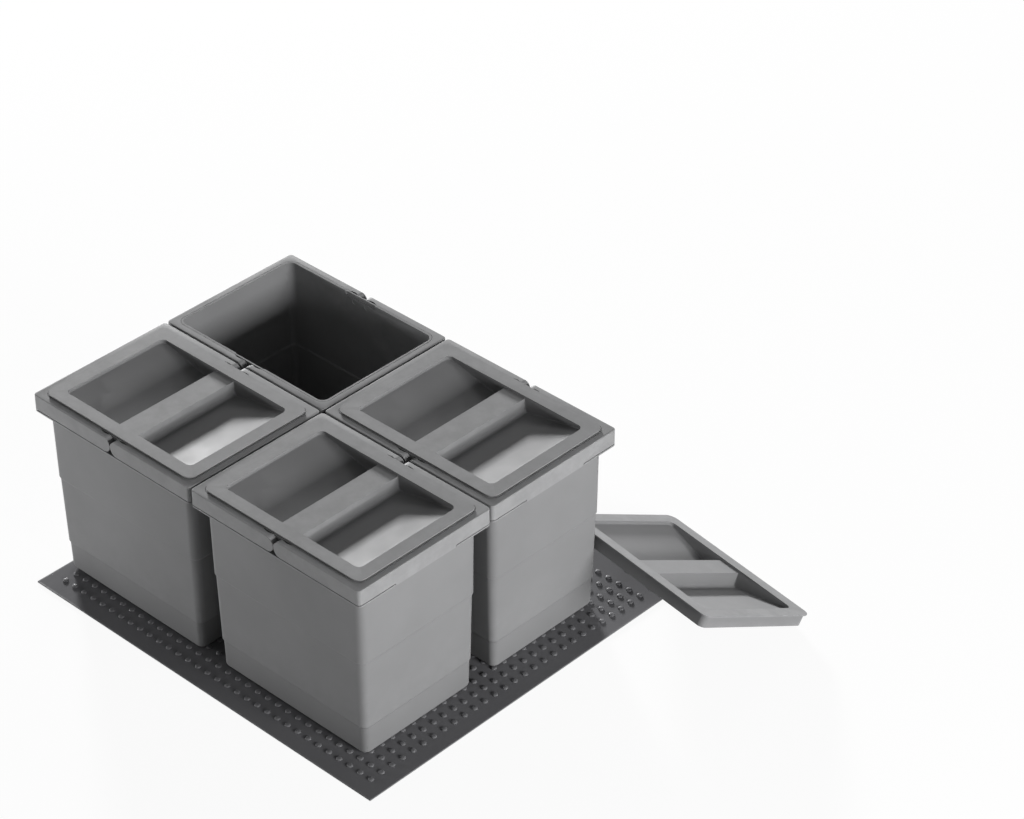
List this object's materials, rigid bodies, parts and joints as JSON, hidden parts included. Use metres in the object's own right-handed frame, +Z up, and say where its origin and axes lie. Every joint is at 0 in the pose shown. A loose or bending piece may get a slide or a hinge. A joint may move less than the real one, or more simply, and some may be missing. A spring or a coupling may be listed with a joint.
{
  "type": "waste sorting bin set for a kitchen drawer",
  "caption": "Set of open-topped drafted bins on a studded drawer mat, each with two swing-up rim handles and lift-off lids with a sunk crossbar grip.",
  "frame": {"origin": "middle of the mat's underside, on the drawer floor", "axes": "+Z up out of the drawer, +X along the long side of each bin, +Y along the short side, towards the mat's wide plain border"},
  "size_m": [0.6258, 0.5135, 0.2198],
  "materials": {
    "mat": "matte, studded",
    "bin": "fine satin grain",
    "handle": "fine satin grain",
    "lid": "fine satin grain"
  },
  "bodies": {
    "mat": {"mat": "mat"},
    "bin_front_left": {"bin_front_left": "bin"},
    "bin_front_right": {"bin_front_right": "bin"},
    "bin_back_left": {"bin_back_left": "bin"},
    "bin_back_right": {"bin_back_right": "bin"},
    "handle_front_left_l": {"handle_front_left_l": "handle"},
    "handle_front_left_r": {"handle_front_left_r": "handle"},
    "handle_front_right_l": {"handle_front_right_l": "handle"},
    "handle_front_right_r": {"handle_front_right_r": "handle"},
    "handle_back_left_l": {"handle_back_left_l": "handle"},
    "handle_back_left_r": {"handle_back_left_r": "handle"},
    "handle_back_right_l": {"handle_back_right_l": "handle"},
    "handle_back_right_r": {"handle_back_right_r": "handle"},
    "lid_front_left": {"lid_front_left": "lid"},
    "lid_front_right": {"lid_front_right": "lid"},
    "lid_back_right": {"lid_back_right": "lid"},
    "lid_loose": {"lid_loose": "lid"}
  },
  "joints": [
    {"name": "bin_front_left_lift", "type": "slide", "parent": "mat", "child": "bin_front_left", "axis": [0, 0, 1], "range_m": [0, 0.25]},
    {"name": "bin_front_right_lift", "type": "slide", "parent": "mat", "child": "bin_front_right", "axis": [0, 0, 1], "range_m": [0, 0.25]},
    {"name": "bin_back_left_lift", "type": "slide", "parent": "mat", "child": "bin_back_left", "axis": [0, 0, 1], "range_m": [0, 0.25]},
    {"name": "bin_back_right_lift", "type": "slide", "parent": "mat", "child": "bin_back_right", "axis": [0, 0, 1], "range_m": [0, 0.25]},
    {"name": "handle_front_left_l_swing", "type": "hinge", "parent": "bin_front_left", "child": "handle_front_left_l", "pos_m": [-0.14455, -0.1239, 0.2093], "axis": [0, 1, 0], "range_deg": [0, 90]},
    {"name": "handle_front_left_r_swing", "type": "hinge", "parent": "bin_front_left", "child": "handle_front_left_r", "pos_m": [-0.12705, -0.1239, 0.2093], "axis": [0, -1, 0], "range_deg": [0, 90]},
    {"name": "handle_front_right_l_swing", "type": "hinge", "parent": "bin_front_right", "child": "handle_front_right_l", "pos_m": [0.08645, -0.1239, 0.2093], "axis": [0, 1, 0], "range_deg": [0, 90]},
    {"name": "handle_front_right_r_swing", "type": "hinge", "parent": "bin_front_right", "child": "handle_front_right_r", "pos_m": [0.10395, -0.1239, 0.2093], "axis": [0, -1, 0], "range_deg": [0, 90]},
    {"name": "handle_back_left_l_swing", "type": "hinge", "parent": "bin_back_left", "child": "handle_back_left_l", "pos_m": [-0.14455, 0.0525, 0.2093], "axis": [0, 1, 0], "range_deg": [0, 90]},
    {"name": "handle_back_left_r_swing", "type": "hinge", "parent": "bin_back_left", "child": "handle_back_left_r", "pos_m": [-0.12705, 0.0525, 0.2093], "axis": [0, -1, 0], "range_deg": [0, 90]},
    {"name": "handle_back_right_l_swing", "type": "hinge", "parent": "bin_back_right", "child": "handle_back_right_l", "pos_m": [0.08645, 0.0525, 0.2093], "axis": [0, 1, 0], "range_deg": [0, 90]},
    {"name": "handle_back_right_r_swing", "type": "hinge", "parent": "bin_back_right", "child": "handle_back_right_r", "pos_m": [0.10395, 0.0525, 0.2093], "axis": [0, -1, 0], "range_deg": [0, 90]},
    {"name": "lid_front_left_lift", "type": "slide", "parent": "bin_front_left", "child": "lid_front_left", "axis": [0, 0, 1], "range_m": [0, 0.06]},
    {"name": "lid_front_right_lift", "type": "slide", "parent": "bin_front_right", "child": "lid_front_right", "axis": [0, 0, 1], "range_m": [0, 0.06]},
    {"name": "lid_back_right_lift", "type": "slide", "parent": "bin_back_right", "child": "lid_back_right", "axis": [0, 0, 1], "range_m": [0, 0.06]},
    {"name": "lid_loose_take", "type": "slide", "parent": "mat", "child": "lid_loose", "axis": [0, 0.6, 0.8], "range_m": [0, 0.2]}
  ]
}
